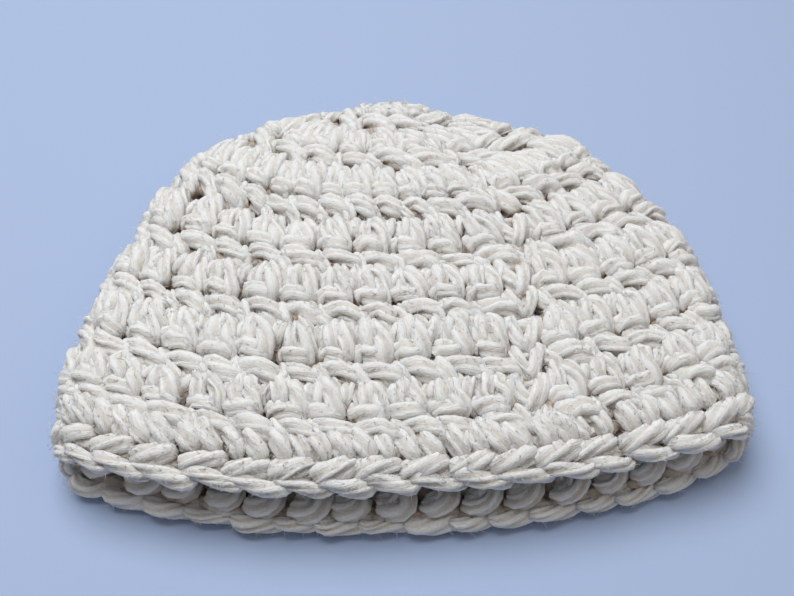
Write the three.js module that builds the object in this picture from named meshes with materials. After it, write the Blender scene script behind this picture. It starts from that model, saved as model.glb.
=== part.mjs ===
// A baby's crocheted beanie lying flat, its mouth towards -Y and its closed crown at the far end.
// Millimetres, +Z up. The underside rests on z = 0 and the outline is centred on the origin.
import * as THREE from 'three';
import { mergeVertices } from 'three/addons/utils/BufferGeometryUtils.js';

// Driving sizes
const flatWidth = 193;         // across the two folds, where the edging starts
const bodyLength = 151.5;      // from the start of the edging to the far end of the crown
const bodyHeight = 33;         // highest point of the upper layer
const foldHeight = 26;         // height of the bend at each side
const wallThickness = 8.5;     // rounds worked in thick yarn
const edgingLength = 10;       // the last, braided round, measured over the upper layer
const edgingThickness = 7.5;
const edgingRounding = 2;      // how far the middle of the wall stands past the last row
const reliefDepth = 1.6;       // how deep the valleys between the rounds lie
const dentDepth = 4;
const jointGap = 0.3;          // between the crown, the body and the edging
const crownRounds = 3;         // rounds that widen, before the straight ones

// Fineness of the surfaces
const stepsAround = 60;
const outerStepsPerRound = 4;
const innerStepsPerRound = 2;
const edgingSteps = 3;
const roundingSteps = 3;

// Form of the section's top curve, of the bow of each round edge and of the valleys
const topCurveShare = 0.6;     // how far out the top curve's handles reach
const curveTopShare = 0.75;    // how much of its handles' height the top curve reaches
const bowExponent = 2.2;
const bowEaseExponent = 0.9;
const reliefExponent = 0.7;
const alongTensionShare = 0.5;
const probeShare = 0.02;       // of a round, to find the wall's direction
const mergeTolerance = 0.001;  // points closer than this are one

// Turns rows of numbers into records with named columns
function table(columns, ...rows) {
  return rows.map((row) => Object.fromEntries(row.map((value, place) => [columns[place], value])));
}

// One row for each round edge, from the closed middle of the crown to the start of the edging.
// wide is a share of half of flatWidth. side, top and under say how far behind the edging the fold,
// the upper layer and the under layer have that edge, as shares of bodyLength. crest and low are
// heights as shares of bodyHeight, bend one of foldHeight. shift, lean and underLean are shares of
// flatWidth, and underLean is the under layer's own lean.
const roundEdges = table(
  ['wide', 'side', 'top', 'under', 'crest', 'low', 'bend', 'shift', 'lean', 'underLean'],
  [0.000, 1.000, 1.000, 1.000, 0.440, 0.440, 0.000, 0.003, 0.000, 0.000],
  [0.352, 0.962, 0.786, 0.827, 0.879, 0.061, 0.808, -0.008, -0.008, 0.000],
  [0.617, 0.847, 0.640, 0.677, 0.970, 0.000, 1.000, -0.003, -0.010, 0.000],
  [0.803, 0.706, 0.495, 0.540, 1.000, 0.000, 1.000, -0.004, -0.005, 0.000],
  [0.917, 0.550, 0.364, 0.396, 1.000, 0.000, 1.000, -0.001, 0.000, 0.000],
  [0.974, 0.409, 0.242, 0.259, 0.939, 0.000, 1.000, -0.005, 0.000, 0.000],
  [1.000, 0.269, 0.115, 0.122, 0.864, 0.000, 0.981, -0.011, 0.000, -0.004],
  [1.004, 0.142, 0.000, -0.018, 0.773, 0.000, 0.923, -0.012, -0.002, -0.010],
);

// The rim has the same columns, but its side, top and under say how far it lies in front of the
// edge before it, as shares of edgingLength.
const [rimEdge] = table(
  ['wide', 'side', 'top', 'under', 'crest', 'low', 'bend', 'shift', 'lean', 'underLean'],
  [1.006, 1.450, 1.000, 0.920, 0.712, 0.000, 0.865, -0.010, -0.001, -0.014],
);

// Soft dents in the upper layer. across and along place the middle, acrossReach and alongReach say
// how far it spreads, as shares of half of flatWidth and of bodyLength. depth is one of dentDepth.
const dents = table(
  ['across', 'along', 'acrossReach', 'alongReach', 'depth'],
  [-0.36, 0.515, 0.13, 0.045, 0.9],
  [-0.47, 0.580, 0.14, 0.040, 0.6],
  [0.20, 0.405, 0.20, 0.035, 0.8],
  [0.30, 0.735, 0.12, 0.045, 0.7],
);

const lastRound = roundEdges.length - 1;

// Closed outline of the wall's outside in one flattened round: flat below, bent at both sides and
// gently domed above
function sectionOutline(edge) {
  const bendRadius = edge.bend * foldHeight / 2;
  const floor = edge.low * bodyHeight;
  const straight = edge.wide * flatWidth / 2 - bendRadius;
  const shoulder = floor + 2 * bendRadius;
  const pull = shoulder + (edge.crest * bodyHeight - shoulder) / curveTopShare;
  const outline = new THREE.Path();
  outline.moveTo(0, floor);
  outline.lineTo(straight, floor);
  outline.absarc(straight, floor + bendRadius, bendRadius, -Math.PI / 2, Math.PI / 2, false);
  outline.bezierCurveTo(
    topCurveShare * straight, pull, -topCurveShare * straight, pull, -straight, shoulder,
  );
  outline.absarc(-straight, floor + bendRadius, bendRadius, Math.PI / 2, 3 * Math.PI / 2, false);
  outline.lineTo(0, floor);
  return outline.getSpacedPoints(stepsAround).slice(0, stepsAround);
}

// How much a point of a section belongs to the upper layer: 0 on the under layer, 1 above the bend
function upperShare(edge, height) {
  const rise = (height - edge.low * bodyHeight) / (edge.bend * foldHeight);
  return THREE.MathUtils.smoothstep(rise, 0, 1);
}

// The points of one round edge, with the distance behind the edging that side, top and under give
function edgePoints(edge, side, top, under) {
  if (edge.wide === 0) {
    const middle = new THREE.Vector3(edge.shift * flatWidth, top, edge.crest * bodyHeight);
    return Array.from({ length: stepsAround }, () => middle.clone());
  }
  const halfWidth = edge.wide * flatWidth / 2;
  return sectionOutline(edge).map((point) => {
    const across = point.x / halfWidth;
    const bow = Math.max(0, 1 - Math.abs(across) ** bowExponent) ** bowEaseExponent;
    const underFront = under + across * edge.underLean * flatWidth;
    const front = THREE.MathUtils.lerp(underFront, top, upperShare(edge, point.y));
    const along = THREE.MathUtils.lerp(side, front, bow) + across * edge.lean * flatWidth;
    return new THREE.Vector3(point.x + edge.shift * flatWidth, along, point.y);
  });
}

// All round edges, the rim last
const edgeRings = roundEdges.map((edge) => (
  edgePoints(edge, edge.side * bodyLength, edge.top * bodyLength, edge.under * bodyLength)
));
const beforeRim = roundEdges[lastRound];
edgeRings.push(edgePoints(
  rimEdge,
  beforeRim.side * bodyLength - rimEdge.side * edgingLength,
  beforeRim.top * bodyLength - rimEdge.top * edgingLength,
  beforeRim.under * bodyLength - rimEdge.under * edgingLength,
));

// One smooth curve along the hat for each step around it. It starts one round before the middle of
// the crown, on the opposite side, so that it runs smoothly over that middle.
const alongCurves = Array.from({ length: stepsAround }, (_, around) => {
  const opposite = (around + stepsAround / 2) % stepsAround;
  const points = [edgeRings[1][opposite], ...edgeRings.map((ring) => ring[around])];
  return new THREE.CatmullRomCurve3(points, false, 'catmullrom', alongTensionShare);
});

function smoothPoint(around, round) {
  const curve = alongCurves[(around + stepsAround) % stepsAround];
  const point = curve.getPoint((round + 1) / (curve.points.length - 1));
  point.z = Math.max(point.z, 0);
  return point;
}

// Direction out of the wall at a step around and a place along the rounds
function outward(around, round) {
  if (round === 0) {
    return new THREE.Vector3(0, 1, 0);
  }
  const aroundDirection = smoothPoint(around + 1, round).sub(smoothPoint(around - 1, round));
  const behind = smoothPoint(around, Math.max(round - probeShare, 0));
  const ahead = smoothPoint(around, Math.min(round + probeShare, lastRound + 1));
  return aroundDirection.cross(ahead.sub(behind)).normalize();
}

// Depth of the soft dents at a point of the upper layer
function dentAt(point) {
  return dents.reduce((sum, dent) => {
    const across = (point.x / (flatWidth / 2) - dent.across) / dent.acrossReach;
    const along = (point.y / bodyLength - dent.along) / dent.alongReach;
    return sum + dent.depth * dentDepth * Math.exp(-across * across - along * along);
  }, 0);
}

// A point of the wall: inset 0 is the outside and 1 the inside. The rounds stand out as soft ribs,
// except where the under layer lies pressed flat.
function wallPoint(around, round, inset, thickness) {
  const point = smoothPoint(around, round);
  const direction = outward(around, round);
  const upper = THREE.MathUtils.smoothstep(point.z, 0, foldHeight);
  const valley = 1 - Math.abs(Math.sin(Math.PI * round)) ** reliefExponent;
  const relief = round > lastRound ? 0 : reliefDepth * valley * (1 - inset);
  const depth = inset * thickness + upper * (relief + dentAt(point));
  return point.addScaledVector(direction, -depth);
}

// A closed wall turned on a lathe from its profile, with each turned vertex then laid where
// placeVertex says: it takes the step around and the number of the profile point
function laidWall(profileCount, closedProfile, placeVertex) {
  const profile = Array.from({ length: profileCount }, (_, index) => {
    const turn = Math.PI * index / (profileCount - 1);
    return closedProfile
      ? new THREE.Vector2(2 + Math.cos(2 * turn), Math.sin(2 * turn))
      : new THREE.Vector2(Math.sin(turn), Math.cos(turn));
  });
  const geometry = new THREE.LatheGeometry(profile, stepsAround);
  const positions = geometry.getAttribute('position');
  for (let around = 0; around <= stepsAround; around += 1) {
    for (let index = 0; index < profileCount; index += 1) {
      const point = placeVertex(around % stepsAround, index);
      positions.setXYZ(around * profileCount + index, point.x, point.y, point.z);
    }
  }
  if (closedProfile) {
    turnDiagonals(geometry, profileCount - 2);
  }
  geometry.deleteAttribute('normal');
  geometry.deleteAttribute('uv');
  const merged = mergeVertices(geometry, mergeTolerance);
  return withoutFlatTriangles(merged);
}

// Splits the quads of one profile segment along their other diagonal, so that the face matches the
// neighbour's face
function turnDiagonals(geometry, segment) {
  const index = geometry.getIndex();
  const segments = index.count / 6 / stepsAround;
  for (let around = 0; around < stepsAround; around += 1) {
    const first = 6 * (around * segments + segment);
    const [a, b, d] = [index.getX(first), index.getX(first + 1), index.getX(first + 2)];
    const c = index.getX(first + 3);
    [a, b, c, a, c, d].forEach((vertex, step) => index.setX(first + step, vertex));
  }
}

// Drops the triangles that the merged middle of the crown leaves without area
function withoutFlatTriangles(geometry) {
  const old = geometry.getIndex().array;
  const kept = [];
  for (let first = 0; first < old.length; first += 3) {
    const [a, b, c] = [old[first], old[first + 1], old[first + 2]];
    if (a !== b && b !== c && c !== a) {
      kept.push(a, b, c);
    }
  }
  geometry.setIndex(kept);
  geometry.computeVertexNormals();
  return geometry;
}

// Direction towards the mouth along the wall
function forward(around, round) {
  return smoothPoint(around, round).sub(smoothPoint(around, round - probeShare)).normalize();
}

// The closed crown: the rounds that widen, from the middle to crownRounds
function crownGeometry() {
  const outerCount = crownRounds * outerStepsPerRound;
  const innerCount = crownRounds * innerStepsPerRound;
  return laidWall(outerCount + innerCount + 2, false, (around, index) => {
    if (index <= outerCount) {
      return wallPoint(around, index / outerStepsPerRound, 0, wallThickness);
    }
    const back = outerCount + innerCount + 1 - index;
    return wallPoint(around, back / innerStepsPerRound, 1, wallThickness);
  });
}

// A point of the face where one piece of wall follows another, moved on by the gap between them
function jointPoint(around, round, inset) {
  const point = wallPoint(around, round, inset, wallThickness);
  return point.addScaledVector(forward(around, round), jointGap);
}

// The body: a ring of wall with the straight rounds, from the crown to the edging
function bodyGeometry() {
  const bodyRounds = lastRound - crownRounds;
  const outerCount = bodyRounds * outerStepsPerRound;
  const innerCount = bodyRounds * innerStepsPerRound;
  const count = outerCount + innerCount + 2;
  return laidWall(count + 1, true, (around, index) => {
    const place = index % count;
    const inset = place <= outerCount ? 0 : 1;
    const step = inset === 0 ? place / outerStepsPerRound : (count - 1 - place) / innerStepsPerRound;
    return step === 0
      ? jointPoint(around, crownRounds, inset)
      : wallPoint(around, crownRounds + step, inset, wallThickness);
  });
}

// The edging: a ring of wall from the body to the rounded rim and back inside
function edgingGeometry() {
  const count = 2 * (edgingSteps + 1) + roundingSteps;
  return laidWall(count + 1, true, (around, index) => {
    const place = index % count;
    const inset = place <= edgingSteps ? 0 : 1;
    const step = inset === 0 ? place : count - 1 - place;
    if (step === 0) {
      return jointPoint(around, lastRound, inset);
    }
    if (step <= edgingSteps) {
      return wallPoint(around, lastRound + step / edgingSteps, inset, edgingThickness);
    }
    const turn = (place - edgingSteps) / (roundingSteps + 1);
    const point = wallPoint(around, lastRound + 1, turn, edgingThickness);
    const rounding = edgingRounding * Math.sin(Math.PI * turn);
    return point.addScaledVector(forward(around, lastRound + 1), rounding);
  });
}

const wool = new THREE.MeshStandardMaterial({ color: 0xe6dfcd, roughness: 0.95, metalness: 0 });
const edgingWool = new THREE.MeshStandardMaterial({ color: 0xeae3d2, roughness: 0.95, metalness: 0 });

const crown = new THREE.Mesh(crownGeometry(), wool);
crown.name = 'crown';
const body = new THREE.Mesh(bodyGeometry(), wool);
body.name = 'body';
const brimEdge = new THREE.Mesh(edgingGeometry(), edgingWool);
brimEdge.name = 'brim_edge';

const beanie = new THREE.Group();
beanie.add(crown, body, brimEdge);
const outline = new THREE.Box3().setFromObject(beanie);
const middle = outline.getCenter(new THREE.Vector3());
beanie.position.set(-middle.x, -middle.y, 0);
export default beanie;
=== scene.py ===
import math
import bpy
import numpy as np
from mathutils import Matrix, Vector


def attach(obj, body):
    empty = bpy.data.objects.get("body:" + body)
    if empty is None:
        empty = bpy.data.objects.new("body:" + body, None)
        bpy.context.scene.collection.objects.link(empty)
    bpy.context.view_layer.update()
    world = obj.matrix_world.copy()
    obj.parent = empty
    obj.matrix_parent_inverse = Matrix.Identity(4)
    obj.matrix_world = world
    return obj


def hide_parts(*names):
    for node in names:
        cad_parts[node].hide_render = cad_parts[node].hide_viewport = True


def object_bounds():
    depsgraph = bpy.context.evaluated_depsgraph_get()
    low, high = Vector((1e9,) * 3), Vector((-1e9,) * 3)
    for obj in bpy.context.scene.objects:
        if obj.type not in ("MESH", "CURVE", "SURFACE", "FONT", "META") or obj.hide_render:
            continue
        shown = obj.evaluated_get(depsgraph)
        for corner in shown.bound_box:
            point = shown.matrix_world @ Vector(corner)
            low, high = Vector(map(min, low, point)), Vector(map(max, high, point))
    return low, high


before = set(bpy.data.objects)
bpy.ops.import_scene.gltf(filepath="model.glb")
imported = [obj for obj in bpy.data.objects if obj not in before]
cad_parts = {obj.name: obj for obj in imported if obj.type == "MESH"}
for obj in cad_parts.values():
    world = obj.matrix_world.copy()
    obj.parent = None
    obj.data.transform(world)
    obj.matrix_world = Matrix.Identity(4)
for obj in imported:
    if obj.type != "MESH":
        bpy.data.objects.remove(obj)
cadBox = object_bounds()
scene = bpy.context.scene
mm = 0.001
print("frame:", len(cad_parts), "nodes, box", cadBox)

# the hat's form in millimetres: the same sizes and the same rows as the solids have
hatForm = {
    "flatWidth": 193.0,
    "bodyLength": 151.5,
    "bodyHeight": 33.0,
    "foldHeight": 26.0,
    "wallThickness": 8.5,
    "edgingLength": 10.0,
    "topCurvePull": 0.6,
    "curveTopShare": 0.75,      # how high a curve reaches towards its two middle points
    "bowPower": 2.2,
    "bowEase": 0.9,
    # wide, side, top, under, crest, low, bend, shift, lean, lean of the under layer
    "roundEdges": [
        (0.000, 1.000, 1.000, 1.000, 0.440, 0.440, 0.000, 0.003, 0.000, 0.000),
        (0.352, 0.962, 0.786, 0.827, 0.879, 0.061, 0.808, -0.008, -0.008, 0.000),
        (0.617, 0.847, 0.640, 0.677, 0.970, 0.000, 1.000, -0.003, -0.010, 0.000),
        (0.803, 0.706, 0.495, 0.540, 1.000, 0.000, 1.000, -0.004, -0.005, 0.000),
        (0.917, 0.550, 0.364, 0.396, 1.000, 0.000, 1.000, -0.001, 0.000, 0.000),
        (0.974, 0.409, 0.242, 0.259, 0.939, 0.000, 1.000, -0.005, 0.000, 0.000),
        (1.000, 0.269, 0.115, 0.122, 0.864, 0.000, 0.981, -0.011, 0.000, -0.004),
        (1.004, 0.142, 0.000, -0.018, 0.773, 0.000, 0.923, -0.012, -0.002, -0.010),
    ],
    "rimEdge": (1.006, 1.450, 1.000, 0.920, 0.712, 0.000, 0.865, -0.010, -0.001, -0.014),
    # across, along, reach across, reach along, depth in millimetres
    "dents": [
        (-0.36, 0.515, 0.13, 0.045, 3.6),
        (-0.47, 0.580, 0.14, 0.040, 2.4),
        (0.20, 0.405, 0.20, 0.035, 3.2),
        (0.30, 0.735, 0.12, 0.045, 2.8),
    ],
    # small pushes of the yarn on that form: place around and along, reaches, then x, y, z in mm
    "pushes": [
        (0.750, 5.0, 0.07, 0.80, 1.5, 0.0, 0.0),
        (0.750, 3.9, 0.07, 0.50, 1.5, -0.3, 0.0),
        (0.730, 2.4, 0.06, 0.50, -0.9, 1.0, 0.0),
        (0.700, 1.1, 0.10, 0.50, 0.8, -1.8, 0.0),
        (0.290, 1.1, 0.10, 0.60, -1.4, -2.4, 0.0),
        (0.270, 2.1, 0.06, 0.40, 0.8, 0.9, 0.0),
        (0.250, 3.6, 0.06, 0.40, -1.0, 0.0, 0.0),
        (0.905, 8.0, 0.09, 1.00, 0.0, -1.6, 0.0),
        (0.775, 8.0, 0.03, 0.80, -0.6, -0.6, 0.0),
        (0.450, 0.6, 0.28, 1.00, 0.0, -1.3, 0.0),
    ],
    "bendSteps": 60,     # points on a fold
    "curveSteps": 200,   # points on the upper curve
    "around": 480,       # steps of the fine grid round the hat
    "perRound": 24,      # and along each round
}


def smoothStep(value, low, high):
    share = np.clip((value - low) / (high - low), 0, 1)
    return share * share * (3 - 2 * share)


def between(p0, p1, p2, p3, t):
    # a point on the smooth curve from p1 to p2
    return 0.5 * (2 * p1 + (p2 - p0) * t + (2 * p0 - 5 * p1 + 4 * p2 - p3) * t * t
                  + (3 * p1 - 3 * p2 + p3 - p0) * t ** 3)


def unit(vectors):
    return vectors / (np.linalg.norm(vectors, axis=-1, keepdims=True) + 1e-9)


# outline of the hat's outside at one round: flat below, bent at the sides, domed above
def sectionOutline(edge):
    wide, crest, low, bend = edge[0], edge[4], edge[5], edge[6]
    radius = bend * hatForm["foldHeight"] / 2
    floor = low * hatForm["bodyHeight"]
    straight = wide * hatForm["flatWidth"] / 2 - radius
    shoulder = floor + 2 * radius
    pull = shoulder + (crest * hatForm["bodyHeight"] - shoulder) / hatForm["curveTopShare"]
    turn = np.radians(np.linspace(-90, 90, hatForm["bendSteps"]))
    t = np.linspace(0, 1, hatForm["curveSteps"])
    ends = (1 - t) ** 3, 3 * t * (1 - t) ** 2, 3 * t * t * (1 - t), t ** 3
    lean = hatForm["topCurvePull"]
    x = np.concatenate([
        [0], straight + radius * np.cos(turn),
        straight * (ends[0] + lean * ends[1] - lean * ends[2] - ends[3]),
        -straight - radius * np.cos(turn), [0]])
    z = np.concatenate([
        [floor], floor + radius + radius * np.sin(turn),
        shoulder * (ends[0] + ends[3]) + pull * (ends[1] + ends[2]),
        floor + radius - radius * np.sin(turn), [floor]])
    length = np.concatenate([[0], np.cumsum(np.hypot(np.diff(x), np.diff(z)))])
    steps = np.arange(hatForm["around"]) / hatForm["around"] * length[-1]
    return np.interp(steps, length, x), np.interp(steps, length, z)


# points of one round's edge; side, top and under are distances behind the edging
def edgePoints(edge, side, top, under):
    wide, (crest, low, bend, shift, lean, underLean) = edge[0], edge[4:]
    width, height = hatForm["flatWidth"], hatForm["bodyHeight"]
    if wide == 0:
        return np.tile([shift * width, top, crest * height], (hatForm["around"], 1))
    x, z = sectionOutline(edge)
    across = x / (wide * width / 2)
    bow = np.clip(1 - np.abs(across) ** hatForm["bowPower"], 0, 1) ** hatForm["bowEase"]
    upper = smoothStep((z - low * height) / (bend * hatForm["foldHeight"]), 0, 1)
    under = under + across * underLean * width
    front = under + (top - under) * upper
    y = side + (front - side) * bow + across * lean * width
    return np.stack([x + shift * width, y, z], 1)


# the wall as a fine grid, rounds by steps around: outside, middle of the wall, outward normals
def buildSurface():
    length = hatForm["bodyLength"]
    rings = [edgePoints(e, e[1] * length, e[2] * length, e[3] * length)
             for e in hatForm["roundEdges"]]
    last, rim = hatForm["roundEdges"][-1], hatForm["rimEdge"]
    rings.append(edgePoints(rim, *(last[i] * length - rim[i] * hatForm["edgingLength"]
                                   for i in (1, 2, 3))))
    knots = [np.roll(rings[1], hatForm["around"] // 2, axis=0), *rings, 2 * rings[-1] - rings[-2]]
    grid = [between(*knots[number:number + 4], step / hatForm["perRound"])
            for number in range(len(rings) - 1) for step in range(hatForm["perRound"])]
    grid.append(rings[-1])
    past = grid[-1] - grid[-2]      # runs on past the rim for the last loops
    grid += [rings[-1] + past * extra for extra in range(1, hatForm["perRound"] + 1)]
    grid = np.array(grid)
    steps = np.arange(hatForm["around"]) / hatForm["around"]
    rounds = np.arange(len(grid))[:, None] / hatForm["perRound"]
    for around, along, reachAround, reachAlong, *push in hatForm["pushes"]:
        near = ((steps - around + 0.5) % 1 - 0.5) / reachAround
        share = np.exp(-near ** 2 - ((rounds - along) / reachAlong) ** 2)
        grid += share[..., None] * push
    grid[..., 2] = np.maximum(grid[..., 2], 0)
    around = np.roll(grid, -1, axis=1) - np.roll(grid, 1, axis=1)
    normal = np.cross(around, np.gradient(grid, axis=0))
    normal[0] = (0, 1, 0)
    normal = unit(normal)
    dent = np.zeros(grid.shape[:2])
    for across, behind, reachX, reachY, deepShadeMask in hatForm["dents"]:
        dx = (grid[..., 0] / (hatForm["flatWidth"] / 2) - across) / reachX
        dy = (grid[..., 1] / length - behind) / reachY
        dent += deepShadeMask * np.exp(-dx * dx - dy * dy)
    upper = smoothStep(grid[..., 2], 0, hatForm["foldHeight"])
    middle = grid - normal * (hatForm["wallThickness"] / 2 + upper * dent)[..., None]
    return grid, middle, normal


outside, middle, outward = buildSurface()
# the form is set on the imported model's own box
cadLow, cadHigh = np.array(cadBox[0]) / mm, np.array(cadBox[1]) / mm
whole = outside[:8 * hatForm["perRound"] + 1].reshape(-1, 3)
centreX = (cadLow[0] + cadHigh[0] - whole[:, 0].min() - whole[:, 0].max()) / 2
middle = middle + [centreX, cadHigh[1] - whole[:, 1].max(), 0]
print("form: outside size", np.ptp(whole, axis=0).round(2), "CAD size", (cadHigh - cadLow).round(2))


def sampleGrid(grid, around, along):
    rows, columns = grid.shape[:2]
    u = (around % 1) * columns
    v = np.clip(along * hatForm["perRound"], 0, rows - 1.001)
    i, j = v.astype(int), u.astype(int) % columns
    fv, fu = (v - i)[..., None], (u - np.floor(u))[..., None]
    j2 = (j + 1) % columns
    return ((grid[i, j] * (1 - fu) + grid[i, j2] * fu) * (1 - fv)
            + (grid[i + 1, j] * (1 - fu) + grid[i + 1, j2] * fu) * fv)


# places and normals given around the hat, along its rounds and out of the wall
def onHat(around, along, out):
    normal = unit(sampleGrid(outward, around, along))
    return sampleGrid(middle, around, along) + normal * out[..., None], normal


yarn = {
    "radius": 2.85,
    "sidesPerPly": 4,
    "groove": 0.30,         # how deep the valley between two plies is, as a share of the radius
    "grooveChange": 0.45,    # how far the valleys come and go along a strand
    "plyRoundness": 1.2,     # how sharply a ply falls off into its valleys
    "plyUneven": 0.16,       # how uneven the plies are in width
    "plySpread": 0.07,       # and in thickness
    "rough": 0.02,           # how far single fibres stand out of line
    "loft": 0.08,            # slow change of a strand's thickness
    "ringSpacing": 1.7,
    "twistLength": 40.0,
    "flatten": 0.96,         # strands lie a little pressed
    "lowest": 0.15,          # nothing goes below the floor
    "endLength": 2.2,        # how long the rounded end of a strand is
    "endThickness": 0.18,    # and how thick its very end, as a share of the section
    "curveSteps": 8,         # points between two control points
    "changeRates": {"thickness": (0.3, 0.7), "valley": (0.2, 0.6), "loft": (0.25, 0.6)},
    "valleyShade": 2.2,
    "outScale": 0.53,
    "outShift": -0.25,
    "loose": np.array([0.048, 0.027, 0.36]),      # how unevenly points lie: across, along, out
    "sizeSpread": 0.06,
    "lean": 0.07,            # how far whole stitches lean over, in stitch widths
    "fullness": 0.06,        # how much fuller some stitches are
    "rimDepth": 3.0,         # the shading depth of the loops that turn over the rim
    "rimFrom": 7.35,         # where the rim's loops begin, in rounds
    "rimTo": 7.8,
    "wholeLoose": 0.8,       # share of the looseness that a strand's points have in common
    "pointLoose": 0.7,       # and that each point has for itself
}


# smooth curves through control points, evenly spaced, for many strands at once
def smoothStrand(points, scale, spacing):
    count = points.shape[1]
    first = 2 * points[:, :1] - points[:, 1:2]
    final = 2 * points[:, -1:] - points[:, -2:-1]
    knots = np.concatenate([first, points, final], 1)
    fine = [between(*(knots[:, piece + i] for i in range(4)), t)
            for piece in range(count - 1)
            for t in np.arange(yarn["curveSteps"]) / yarn["curveSteps"]]
    fine = np.stack([*fine, points[:, -1]], 1)
    size = np.linalg.norm(np.diff(fine, axis=1) * scale, axis=2)
    length = np.concatenate([np.zeros((len(fine), 1)), np.cumsum(size, 1)], 1)
    rings = max(4, int(round(length[:, -1].mean() / spacing)) + 1)
    even = np.empty((len(fine), rings, 3))
    for strand in range(len(fine)):
        steps = np.linspace(0, length[strand, -1], rings)
        for axis in range(3):
            even[strand, :, axis] = np.interp(steps, length[strand], fine[strand, :, axis])
    return even


# rings of plied yarn round centre lines, each strand one closed tube; deepness is the height of the
# centre line out of the wall's middle, facing tells to which side it lies; with the ply valleys they
# set where the material paints shade
def yarnTubes(centres, normals, radius, rng, deepness, facing, plies):
    strands, rings = centres.shape[:2]
    perPly = yarn["sidesPerPly"]
    sides = plies * perPly
    tangent = unit(np.gradient(centres, axis=1))
    side = unit(np.cross(tangent, normals))
    out = np.cross(side, tangent)
    step = np.linalg.norm(np.diff(centres, axis=1), axis=2)
    run = np.concatenate([np.zeros((strands, 1)), np.cumsum(step, 1)], 1)[..., None]
    edges = np.arange(plies) + yarn["plyUneven"] * rng.standard_normal((strands, plies))
    following = np.concatenate([edges[:, 1:], edges[:, :1] + plies], 1)
    share = np.arange(perPly) / perPly
    turn = (edges[..., None] + (following - edges)[..., None] * share).reshape(strands, 1, sides)
    turn = turn / plies * 2 * math.pi
    start = rng.uniform(0, 2 * math.pi, (strands, 1, 1))
    angle = start + 2 * math.pi * run / yarn["twistLength"] + turn

    def slowChange(width, kind):
        rate = rng.uniform(*yarn["changeRates"][kind], (2, strands, 1, width))
        phase = rng.uniform(0, 2 * math.pi, (2, strands, 1, width))
        return np.sin(run * rate + phase).mean(0)
    plySize = (1 + yarn["plySpread"] * rng.standard_normal((strands, 1, plies))
               + yarn["plySpread"] * slowChange(plies, "thickness"))
    change = 1 + yarn["grooveChange"] * slowChange(plies, "valley")
    grooves = yarn["groove"] * np.clip(change, 0.1, 2)
    plySize, grooves = (np.repeat(value, perPly, 2) for value in (plySize, grooves))
    valley = np.tile((1 - np.sin(math.pi * share)) ** yarn["plyRoundness"], plies)
    loft = 1 + yarn["loft"] * slowChange(1, "loft")
    ends = np.clip(np.minimum(run, run[:, -1:] - run) / yarn["endLength"], 0, 1)
    taper = np.sqrt(ends * (1 - yarn["endThickness"]) + yarn["endThickness"])
    plySize = np.where(valley == 1, (plySize + np.roll(plySize, perPly, axis=2)) / 2, plySize)
    wide = radius * loft * taper * (plySize - grooves * valley)
    wide += yarn["rough"] * rng.standard_normal((strands, rings, sides))
    points = (centres[:, :, None] + side[:, :, None] * (np.cos(angle) * wide)[..., None]
              + out[:, :, None] * (np.sin(angle) * wide * yarn["flatten"])[..., None])
    far = rng.uniform(0, 400, (strands, 1, 1))      # every strand has its own stretch of the wool
    flat = np.zeros((strands, rings, sides))
    fibre = np.stack([np.cos(turn) * radius + flat, np.sin(turn) * radius + flat,
                      run + far + flat], -1)
    valleyShade = 1 - grooves * yarn["valleyShade"] * valley
    # painted shade: the side of a strand that faces into the wall counts as deeper and gets more
    # painted shade
    deep = deepness[..., None] + facing[..., None] * np.sin(angle) * wide
    tone = flat + rng.uniform(0, 1, (strands, 1, 1))
    return {"points": points, "centres": centres, "normals": normals, "fibre": fibre,
            "shade": np.stack([valleyShade + flat, deep, tone], -1)}


# a mesh object from points and faces, with the fibre direction and shading on its points
def meshObject(name, points, quads, triangles, values, material):
    mesh = bpy.data.meshes.new(name)
    mesh.vertices.add(len(points))
    mesh.vertices.foreach_set("co", (points * mm).astype(np.float32).ravel())
    loops = np.concatenate([quads.ravel(), triangles.ravel()])
    mesh.loops.add(len(loops))
    mesh.loops.foreach_set("vertex_index", loops.astype(np.int32))
    mesh.polygons.add(len(quads) + len(triangles))
    starts = np.concatenate([np.arange(len(quads)) * 4,
                             len(quads) * 4 + np.arange(len(triangles)) * 3])
    mesh.polygons.foreach_set("loop_start", starts.astype(np.int32))
    mesh.polygons.foreach_set("use_smooth", np.ones(len(starts), bool))
    mesh.update(calc_edges=True)
    for label, value in values.items():
        layer = mesh.attributes.new(label, "FLOAT_VECTOR", "POINT")
        layer.data.foreach_set("vector", value.astype(np.float32).ravel())
    mesh.materials.append(material)
    piece = bpy.data.objects.new(name, mesh)
    scene.collection.objects.link(piece)
    print(name, "triangles", 2 * len(quads) + len(triangles))
    return piece


def yarnObject(name, tubes, material):
    points, fibres, shades, quads, caps = [], [], [], [], []
    total = 0
    for tube in tubes:
        strands, rings, sides = tube["points"].shape[:3]
        index = total + np.arange(strands * rings * sides).reshape(strands, rings, sides)
        after = np.roll(index, -1, axis=2)
        quads.append(np.stack([index[:, :-1], after[:, :-1], after[:, 1:], index[:, 1:]], -1))
        total += strands * rings * sides
        points.append(tube["points"].reshape(-1, 3))
        fibres.append(tube["fibre"].reshape(-1, 3))
        shades.append(tube["shade"].reshape(-1, 3))
        for end, order in ((0, 1), (-1, 0)):
            tip = total + np.arange(strands)[:, None] + 0 * index[:, end]
            pair = (index[:, end], after[:, end])
            caps.append(np.stack([tip, pair[order], pair[1 - order]], -1).reshape(-1, 3))
            total += strands
            points.append(tube["centres"][:, end])
            fibres.append(tube["fibre"][:, end].mean(1))
            shades.append(tube["shade"][:, end].mean(1))
    points = np.concatenate(points)
    points[:, 2] = np.maximum(points[:, 2], yarn["lowest"])
    quads = np.concatenate([part.reshape(-1, 4) for part in quads])
    values = {"fibre": np.concatenate(fibres), "shade": np.concatenate(shades)}
    return meshObject(name, points, quads, np.concatenate(caps), values, material)


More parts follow.
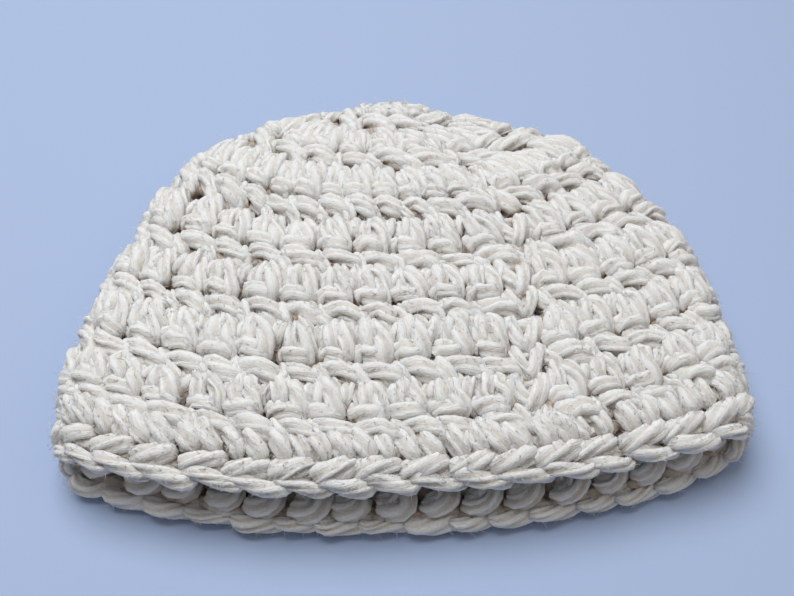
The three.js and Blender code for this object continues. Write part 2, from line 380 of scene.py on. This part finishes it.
# tubes for a table of strands, laid once for each place where a stitch begins
def layStrands(table, begin, cell, fromRound, height, scale, rng, plies, step=1.0, size=1.0):
    shift = rng.standard_normal((len(begin), 1, 3)) * yarn["loose"]
    lean = rng.standard_normal((len(begin), 1)) * yarn["lean"]
    full = 1 + rng.standard_normal((len(begin), 1, 1)) * yarn["fullness"]
    tubes = []
    for thick, control in table.values():
        points = np.tile(np.array(control), (len(begin), 1, 1)) + shift * yarn["wholeLoose"]
        points += rng.standard_normal(points.shape) * yarn["loose"] * yarn["pointLoose"]
        points[..., 0] += lean * (points[..., 1] - 0.5)
        even = smoothStrand(points, scale, yarn["ringSpacing"] * step)
        along = even[..., 1]
        out = (even[..., 2] + yarn["outShift"]) * yarn["outScale"]
        centres, normals = onHat(begin[:, None] - even[..., 0] * cell,
                                 np.maximum(fromRound + along * height, 0.02), out)
        # the last loops turn over the rim, so nothing there is deep and little painted deep shade falls
        # on them
        rim = smoothStep(fromRound + along * height, yarn["rimFrom"], yarn["rimTo"])
        deepness = np.abs(out) * (1 - rim) + rim * yarn["rimDepth"]
        facing = np.sign(out) * (1 - rim)
        thickness = yarn["radius"] * thick * size * full * (
            1 + yarn["sizeSpread"] * rng.standard_normal((len(begin), 1, 1)))
        tubes.append(yarnTubes(centres, normals, thickness, rng, deepness, facing, plies))
    return tubes


# strands of one stitch by control points: across in stitch widths, along from the round
# before (0) to this round's edge (1), and height out of the wall in millimetres
stitches = {
    "counts": [10, 20, 37, 32, 36, 37, 37],
    "seamAround": [0.420, 0.425, 0.412, 0.405, 0.418, 0.418, 0.4205],
    "seamWidth": 0.80,
    "roundShift": [-0.13, -0.12, -0.05, 0.03, 0.03, 0.03, 0.0],
    "roundHeight": [1, 1, 1, 1, 1, 1, 0.88],
    "roundSize": [1.05, 1.05, 1.03, 1, 1, 1, 1],
    "roundLength": 19.0,
    "plies": 5,
    "hiddenPlies": 2,
    "strands": {
        "legLeft": (1.14, [(0.42, -0.08, 0.8), (0.38, 0.00, 3.4), (0.32, 0.13, 4.5),
                           (0.29, 0.27, 4.2), (0.30, 0.44, 1.6)]),
        "legRight": (1.14, [(0.52, -0.09, 0.8), (0.58, 0.00, 3.7), (0.66, 0.13, 4.8),
                            (0.72, 0.30, 4.9), (0.73, 0.47, 3.8), (0.72, 0.62, 0.6)]),
        "wrap": (1.14, [(0.06, 0.49, -2.4), (0.10, 0.45, 1.6), (0.25, 0.44, 4.5),
                        (0.47, 0.48, 5.0), (0.67, 0.52, 4.3), (0.80, 0.56, 1.4)]),
        "head": (1.14, [(0.22, 0.66, 0.0), (0.38, 0.68, 3.3), (0.70, 0.74, 4.5),
                        (1.00, 0.84, 3.9), (1.24, 0.93, 0.4)]),
        "slant": (0.98, [(0.08, 0.60, 0.0), (0.12, 0.72, 2.8), (0.19, 0.84, 3.5),
                         (0.28, 0.96, 2.8), (0.36, 1.06, 0.0)]),
        "link": (1.00, [(0.88, 0.32, 0.4), (0.97, 0.19, 3.2), (1.07, 0.07, 3.6),
                        (1.17, -0.03, 1.2)]),
    },
    # the inside of the hat
    "backs": {
        "backBar": (1.00, [(0.55, -0.02, -2.0), (0.75, 0.30, -3.8), (0.80, 0.60, -3.2)]),
        "backWrap": (1.00, [(1.05, 0.30, -1.6), (0.60, 0.42, -3.6), (0.15, 0.50, -2.2)]),
        "backLoop": (1.00, [(1.20, 0.88, -2.6), (0.80, 0.86, -3.8), (0.35, 0.82, -2.8)]),
    },
    # fills the wall between the strands, deep down
    "core": {
        "coreHigh": (0.95, [(-0.10, 0.06, -0.6), (0.50, 0.08, 0.2), (1.10, 0.06, -0.6)]),
        "coreMiddle": (0.95, [(-0.10, 0.32, -0.8), (0.50, 0.30, -0.2), (1.10, 0.32, -0.8)]),
        "coreLow": (0.95, [(0.12, 0.58, -0.8), (0.50, 0.64, 0.2), (0.88, 0.70, -0.8)]),
        "coreEnd": (0.85, [(-0.10, 0.86, -1.0), (0.50, 0.84, -0.6), (1.10, 0.86, -1.0)]),
    },
    # where a round ends on its own start
    "seam": {
        "seamCoreHigh": (0.95, [(-0.30, 0.10, -0.8), (0.50, 0.14, 0.6), (1.30, 0.10, -0.8)]),
        "seamCoreLow": (0.95, [(-0.30, 0.60, -0.8), (0.50, 0.64, 0.6), (1.30, 0.60, -0.8)]),
        "seamLeft": (0.95, [(0.10, -0.10, 1.5), (0.08, 0.15, 3.4), (0.30, 0.42, 3.8),
                            (0.62, 0.60, 1.5)]),
        "seamRight": (0.95, [(0.92, 0.00, 1.5), (0.92, 0.20, 3.4), (0.62, 0.46, 3.8),
                             (0.32, 0.62, 2.0)]),
        "seamLow": (0.95, [(0.12, 0.48, 1.5), (0.16, 0.66, 3.4), (0.42, 0.90, 3.6),
                           (0.60, 1.05, 1.5)]),
        "seamLowRight": (0.95, [(0.90, 0.50, 1.5), (0.86, 0.70, 3.4), (0.60, 0.92, 3.2),
                                (0.40, 1.02, 1.0)]),
        "seamBack": (0.95, [(0.50, 0.00, -2.5), (0.55, 0.50, -3.5), (0.50, 1.00, -3.0)]),
    },
}


def roundTubes(number, rng):
    row = number - 1
    count = stitches["counts"][row]
    seamWidth = stitches["seamWidth"] if number > 1 else 0
    cell = 1 / (count + seamWidth)
    seamAround = stitches["seamAround"][row]
    starts = seamAround - (seamWidth / 2 + np.arange(count)) * cell
    circle = sampleGrid(middle, np.linspace(0, 1, 200), np.full(200, number - 0.5))
    girth = np.linalg.norm(np.diff(circle, axis=0), axis=1).sum()
    scale = np.array([girth * cell, stitches["roundLength"], yarn["outScale"]])
    lay = {"fromRound": row + stitches["roundShift"][row], "height": stitches["roundHeight"][row],
           "rng": rng, "size": stitches["roundSize"][row]}
    hidden = {"plies": stitches["hiddenPlies"], **lay}
    tubes = layStrands(stitches["strands"], starts, cell, scale=scale, plies=stitches["plies"],
                       **lay)
    tubes += layStrands(stitches["backs"], starts, cell, scale=scale, **hidden)
    tubes += layStrands(stitches["core"], starts, cell, scale=scale, step=2, **hidden)
    if seamWidth:
        begin = np.array([seamAround + seamWidth / 2 * cell])
        seamScale = scale * [seamWidth, 1, 1]
        tubes += layStrands(stitches["seam"], begin, cell * seamWidth, scale=seamScale,
                            plies=stitches["plies"], **lay)
    return tubes


# shader values: an expression on wires adds its Math nodes
class Wire:
    def __init__(self, tree, socket=None):
        self.tree = tree
        self.socket = socket

    # any node: its settings first, then the values or links of its sockets
    def add(self, kind, settings, sockets, output=0):
        node = self.tree.nodes.new(kind)
        for name, value in settings.items():
            setattr(node, name, value)
        for key, value in sockets.items():
            if isinstance(value, Wire):
                self.tree.links.new(value.socket, node.inputs[key])
            else:
                node.inputs[key].default_value = value
        return Wire(self.tree, node.outputs[output])

    def maths(self, operation, first, second):
        return self.add("ShaderNodeMath", {"operation": operation}, {0: first, 1: second})

    def __add__(self, other):
        return self.maths("ADD", self, other)

    def __radd__(self, other):
        return self.maths("ADD", other, self)

    def __sub__(self, other):
        return self.maths("SUBTRACT", self, other)

    def __rsub__(self, other):
        return self.maths("SUBTRACT", other, self)

    def __mul__(self, other):
        return self.maths("MULTIPLY", self, other)

    def __rmul__(self, other):
        return self.maths("MULTIPLY", other, self)


woolLook = {
    "warm": (0.82, 0.795, 0.76, 1),
    "cool": (0.80, 0.795, 0.785, 1),
    # painted shade: a dark tan for strands deep in the wall and for their sides that face into it
    "paintedDeepShade": (0.47, 0.35, 0.26, 1),
    # painted shade: a tan for the valleys between plies
    "paintedValleyShade": (0.60, 0.53, 0.46, 1),
    # how far the painted valley shade goes at most
    "valleyShadeShare": 0.5,
    "fibreScale": (2.4, 2.4, 0.3),     # fibres: fine across, long along
    "hairScale": (2.4, 2.4, 1.2),
    "bumpDepth": 0.0003,
    "roughness": 0.95,
    "sheen": 0.12,
    "fineLight": 0.20,                  # how far the fibres lighten and darken the wool
    "hazeLight": 0.46,
    "strandLight": 0.04,
    "leastLight": 0.70,
    "fineBump": 0.7,
    "hazeBump": 0.9,
    "valleyBump": 1.2,
    "valleyShadeRange": (1.0, 0.45),         # valley shade value where the painted valley shade begins and is full
    "deepShadeRange": (3.3, 0.2),            # height out of the wall where the painted deep shade begins and is full
    # how far the painted deep shade goes at most
    "deepShadeShare": 0.8,
    "soft": 0.35,
    "softDepth": 0.0007,
}


def woolMaterial(name):
    material = bpy.data.materials.new(name)
    material.use_nodes = True
    tree = material.node_tree
    shader = tree.nodes["Principled BSDF"]
    wires = Wire(tree)
    shade = wires.add("ShaderNodeAttribute", {"attribute_name": "shade"}, {}, 1)
    valley = wires.add("ShaderNodeSeparateXYZ", {}, {0: shade}, 0)
    deep = wires.add("ShaderNodeSeparateXYZ", {}, {0: shade}, 1)
    tone = wires.add("ShaderNodeSeparateXYZ", {}, {0: shade}, 2)
    fibre = wires.add("ShaderNodeAttribute", {"attribute_name": "fibre"}, {}, 1)
    streak = wires.add("ShaderNodeVectorMath", {"operation": "MULTIPLY"},
                       {0: fibre, 1: woolLook["fibreScale"]})
    fine = wires.add("ShaderNodeTexNoise", {}, {"Vector": streak, "Scale": 1.0, "Detail": 2.0,
                                                "Roughness": 0.55})
    hair = wires.add("ShaderNodeVectorMath", {"operation": "MULTIPLY"},
                     {0: fibre, 1: woolLook["hairScale"]})
    haze = wires.add("ShaderNodeTexNoise", {}, {"Vector": hair, "Scale": 1.0, "Detail": 2.0,
                                                "Roughness": 0.7})
    broad = wires.add("ShaderNodeTexNoise", {}, {"Vector": fibre, "Scale": 0.11, "Detail": 1.0})
    base = wires.add("ShaderNodeMix", {"data_type": "RGBA"},
                     {0: broad, 6: woolLook["warm"], 7: woolLook["cool"]}, 2)
    # painted shade: the valleys between plies get a little tan painted shade, and strands deep in the
    # wall much more
    # painted shade: the valleys between plies are tinted tan where light would fall less
    valleyShadeMask = wires.add("ShaderNodeMapRange", {"interpolation_type": "SMOOTHSTEP"},
                       {"Value": valley + (fine - 0.5) * 0.5,
                        "From Min": woolLook["valleyShadeRange"][0],
                        "From Max": woolLook["valleyShadeRange"][1],
                        "To Min": 0.0, "To Max": woolLook["valleyShadeShare"]})
    plied = wires.add("ShaderNodeMix", {"data_type": "RGBA"},
                      {0: valleyShadeMask, 6: base, 7: woolLook["paintedValleyShade"]}, 2)
    # painted shade: strands deep in the wall and their inward sides get the dark tan
    deepShadeMask = wires.add("ShaderNodeMapRange", {"interpolation_type": "SMOOTHSTEP"},
                      {"Value": deep, "From Min": woolLook["deepShadeRange"][0],
                       "From Max": woolLook["deepShadeRange"][1],
                       "To Min": 0.0, "To Max": woolLook["deepShadeShare"]})
    dark = wires.add("ShaderNodeMix", {"data_type": "RGBA"},
                     {0: deepShadeMask, 6: plied, 7: woolLook["paintedDeepShade"]}, 2)
    light = (woolLook["leastLight"] + haze * woolLook["hazeLight"] + fine * woolLook["fineLight"]
             + tone * woolLook["strandLight"])
    grey = wires.add("ShaderNodeCombineColor", {}, {0: light, 1: light, 2: light})
    colour = wires.add("ShaderNodeMix", {"data_type": "RGBA", "blend_type": "MULTIPLY"},
                       {0: 1.0, 6: dark, 7: grey}, 2)
    tree.links.new(colour.socket, shader.inputs["Base Color"])
    height = (fine * woolLook["fineBump"] + haze * woolLook["hazeBump"]
              + valley * woolLook["valleyBump"])
    bump = wires.add("ShaderNodeBump", {}, {"Strength": 1.0, "Distance": woolLook["bumpDepth"],
                                            "Height": height})
    tree.links.new(bump.socket, shader.inputs["Normal"])
    constants = {"Roughness": woolLook["roughness"], "Sheen Weight": woolLook["sheen"],
                 "Sheen Roughness": 0.5, "Sheen Tint": (1.0, 0.94, 0.86, 1), "Specular IOR Level": 0.15,
                 "Subsurface Weight": woolLook["soft"], "Subsurface Radius": (1.0, 0.85, 0.7),
                 "Subsurface Scale": woolLook["softDepth"]}
    for socket, value in constants.items():
        shader.inputs[socket].default_value = value
    return material


wool = woolMaterial("cream_wool")
print("material: cream wool")

stitchRng = np.random.default_rng(11)
crownTubes, bodyTubes = [], []
for number in range(1, 8):
    tubes = roundTubes(number, stitchRng)
    piece = yarnObject(f"stitch_round_{number}", tubes, wool)
    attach(piece, "root")
    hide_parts("crown" if number <= 3 else "body")
    if number <= 3:
        crownTubes += tubes
    else:
        bodyTubes += tubes
print("stitches: 7 rounds")

# the round of edging: posts worked over the last round, and the two arms of its chain
edging = {
    "count": 36,
    "width": 11.3,
    "length": 10.0,
    "plies": 5,
    "hiddenPlies": 2,
    "strands": {
        "post": (1.20, [(0.00, -0.34, 1.4), (0.06, -0.20, 3.8), (0.16, 0.02, 4.4),
                        (0.27, 0.30, 2.8)]),
        "post2": (1.18, [(0.52, -0.34, 1.4), (0.57, -0.19, 3.7), (0.66, 0.03, 4.3),
                         (0.76, 0.30, 2.8)]),
        "frontArm": (1.04, [(-0.14, 0.60, 0.4), (0.04, 0.55, 2.8), (0.40, 0.47, 4.1),
                            (0.76, 0.40, 3.9), (1.00, 0.36, 1.6)]),
        "rimArm": (0.84, [(-0.04, 0.66, 1.0), (0.26, 0.78, 2.6), (0.66, 0.91, 1.8),
                          (1.06, 0.97, 0.2), (1.36, 0.90, -1.8)]),
    },
    "backs": {
        "backArm": (1.04, [(0.16, 0.02, -1.6), (0.16, 0.26, -4.0), (0.42, 0.52, -4.8),
                           (0.70, 0.50, -4.0), (0.84, 0.30, -1.6)]),
        "backPost": (1.05, [(0.30, -0.16, -2.0), (0.42, 0.10, -4.2), (0.62, 0.24, -4.0),
                            (0.80, 0.14, -1.6)]),
    },
    "core": {
        "core": (0.95, [(-0.10, 0.00, 0.2), (0.50, 0.05, 0.8), (1.10, 0.00, 0.2)]),
        "coreRim": (0.80, [(-0.10, 0.62, 0.2), (0.50, 0.60, 0.4), (1.10, 0.62, 0.2)]),
    },
}
edgingRng = np.random.default_rng(23)
edgingCell = 1 / edging["count"]
edgingStarts = stitches["seamAround"][-1] - np.arange(edging["count"]) * edgingCell
edgingTubes = []
for group, plies, step in (("strands", edging["plies"], 1), ("backs", edging["plies"], 1),
                           ("core", edging["hiddenPlies"], 2)):
    edgingTubes += layStrands(edging[group], edgingStarts, edgingCell, 7, 1,
                              np.array([edging["width"], edging["length"], yarn["outScale"]]),
                              edgingRng, plies, step)
edgingPiece = yarnObject("edging_round", edgingTubes, wool)
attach(edgingPiece, "root")
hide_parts("brim_edge")
print("edging: 1 round")

# fine fibres that stand off the strands: many short straight ones, a few long bent ones
fuzz = {
    "short": {"length": (1.2, 3.4), "thickness": 0.105, "rings": 1, "lift": 1.2, "curl": 0.0},
    "long": {"length": (3.0, 8.0), "thickness": 0.065, "rings": 3, "lift": 0.6, "curl": 1.6},
    "shortCounts": {"crown": 18000, "body": 44000, "edging": 12000},
    "longCount": 3600,
    "spare": 1.4,            # roots drawn for each one that is kept
    "spread": 0.45,          # how far the fibres point away from the strand's own way
    "taper": 0.4,
    "lowest": 0.03,
}


def fibreObject(name, tubes, count, kind, rng, material):
    look = fuzz[kind]
    share = np.array([tube["points"].shape[0] for tube in tubes], float)
    roots, ways, lifts = [], [], []
    for tube, wanted in zip(tubes, np.round(share / share.sum() * count * fuzz["spare"]).astype(int)):
        strands, rings, sides = tube["points"].shape[:3]
        i, j, k = (rng.integers(0, n, wanted * 3) for n in (strands, rings - 2, sides))
        j = j + 1
        centre = tube["centres"][i, j]
        radial = unit(tube["points"][i, j, k] - centre)
        keep = np.flatnonzero((radial * tube["normals"][i, j]).sum(1) > 0.2)[:wanted]
        roots.append((tube["points"][i, j, k] - radial * 0.2)[keep])
        lifts.append(radial[keep])
        ways.append(unit(tube["centres"][i, j + 1] - centre)[keep])
    pick = rng.permutation(sum(len(part) for part in roots))[:count]
    roots, lifts, ways = (np.concatenate(part)[pick] for part in (roots, lifts, ways))
    total = len(roots)
    way = ways * rng.choice([-1, 1], (total, 1)) + fuzz["spread"] * rng.standard_normal((total, 3))
    way = unit(way + lifts * rng.uniform(0.1, 1, (total, 1)) * look["lift"])
    length = rng.uniform(*look["length"], (total, 1))
    bend = look["curl"] * (0.5 * rng.standard_normal((total, 3)) - lifts * 0.4)
    t = np.linspace(0, 1, look["rings"] + 1)[None, :, None]
    path = roots[:, None] + length[:, None] * (way[:, None] * t) + bend[:, None] * t * t
    tangent = unit(np.gradient(path, axis=1))
    side = unit(np.cross(tangent, lifts[:, None] + 0.01))
    out = np.cross(side, tangent)
    turn = np.arange(3) / 3 * 2 * math.pi
    wide = look["thickness"] * (1 - fuzz["taper"] * t) * rng.uniform(0.7, 1.2, (total, 1, 1))
    points = (path[:, :, None] + side[:, :, None] * (np.cos(turn) * wide)[..., None]
              + out[:, :, None] * (np.sin(turn) * wide)[..., None])[:, :-1]
    each = look["rings"] * 3 + 1
    base = np.arange(total)[:, None] * each
    faces = [[2, 1, 0]]
    for ring in range(look["rings"] - 1):
        for k in range(3):
            a, b = ring * 3 + k, ring * 3 + (k + 1) % 3
            faces += [[a, b, b + 3], [a, b + 3, a + 3]]
    last = each - 4
    faces += [[last + k, last + (k + 1) % 3, each - 1] for k in range(3)]
    triangles = np.concatenate([base + np.array(face) for face in faces])
    points = np.concatenate([points.reshape(total, -1, 3), path[:, -1:]], 1).reshape(-1, 3)
    points[:, 2] = np.maximum(points[:, 2], fuzz["lowest"])
    # fibres get no painted valley shade and no painted deep shade
    values = {"fibre": points, "shade": np.tile([1, yarn["radius"] * 2, 0.5], (len(points), 1))}
    return meshObject(name, points, np.zeros((0, 4), int), triangles, values, material)


fuzzRng = np.random.default_rng(5)
tubeGroups = {"crown": crownTubes, "body": bodyTubes, "edging": edgingTubes}
fuzzPieces = [fibreObject(f"short_fibres_{part}", tubeGroups[part], count, "short", fuzzRng, wool)
              for part, count in fuzz["shortCounts"].items()]
fuzzPieces.append(fibreObject("long_fibres", crownTubes + bodyTubes + edgingTubes,
                              fuzz["longCount"], "long", fuzzRng, wool))
for piece in fuzzPieces:
    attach(piece, "root")
print("fibres:", len(fuzzPieces), "pieces")

# plain pale floor, soft light from the back left, camera at the photo's angle
studio = {
    "floor": (0.39, 0.48, 0.685, 1),
    "world": (1.0, 0.97, 0.93, 1),
    "worldStrength": 0.23,
    "windowPlace": (-0.18, 0.27, 1.0),
    "windowPower": 10.2,
    "windowColour": (0.92, 0.96, 1.0),
    "fillPlace": (0.6, -0.1, 0.8),
    "fillPower": 0.8,
    "fillColour": (1.0, 0.95, 0.87),
    "lightSize": 0.8,
    "cameraPlace": (-0.0097, -0.1877, 0.226),
    "cameraTurn": (math.radians(40), 0, math.radians(-3)),
    "lens": 40.8,
}
floorMaterial = bpy.data.materials.new("pale_floor")
floorMaterial.use_nodes = True
floorShader = floorMaterial.node_tree.nodes["Principled BSDF"]
floorShader.inputs["Base Color"].default_value = studio["floor"]
floorShader.inputs["Roughness"].default_value = 0.7
bpy.ops.mesh.primitive_plane_add(size=6)
floor = bpy.context.object
floor.name = "studio_floor"
floor.data.materials.append(floorMaterial)

world = bpy.data.worlds.new("studio")
scene.world = world
world.use_nodes = True
world.node_tree.nodes["Background"].inputs[0].default_value = studio["world"]
world.node_tree.nodes["Background"].inputs[1].default_value = studio["worldStrength"]


def softLight(name, place, power, colour):
    data = bpy.data.lights.new(name, "AREA")
    data.shape = "DISK"
    data.size = studio["lightSize"]
    data.energy = power
    data.color = colour
    lamp = bpy.data.objects.new(name, data)
    scene.collection.objects.link(lamp)
    lamp.location = place
    lamp.rotation_euler = (-Vector(place)).to_track_quat("-Z", "Y").to_euler()


softLight("window", studio["windowPlace"], studio["windowPower"], studio["windowColour"])
softLight("fill", studio["fillPlace"], studio["fillPower"], studio["fillColour"])
print("studio: floor and two soft lights")

cameraData = bpy.data.cameras.new("camera")
cameraData.sensor_width = 36
cameraData.lens = studio["lens"]
cameraData.clip_start = 0.01
camera = bpy.data.objects.new("camera", cameraData)
scene.collection.objects.link(camera)
camera.location = studio["cameraPlace"]
camera.rotation_euler = studio["cameraTurn"]
scene.camera = camera
scene.view_settings.view_transform = "Standard"
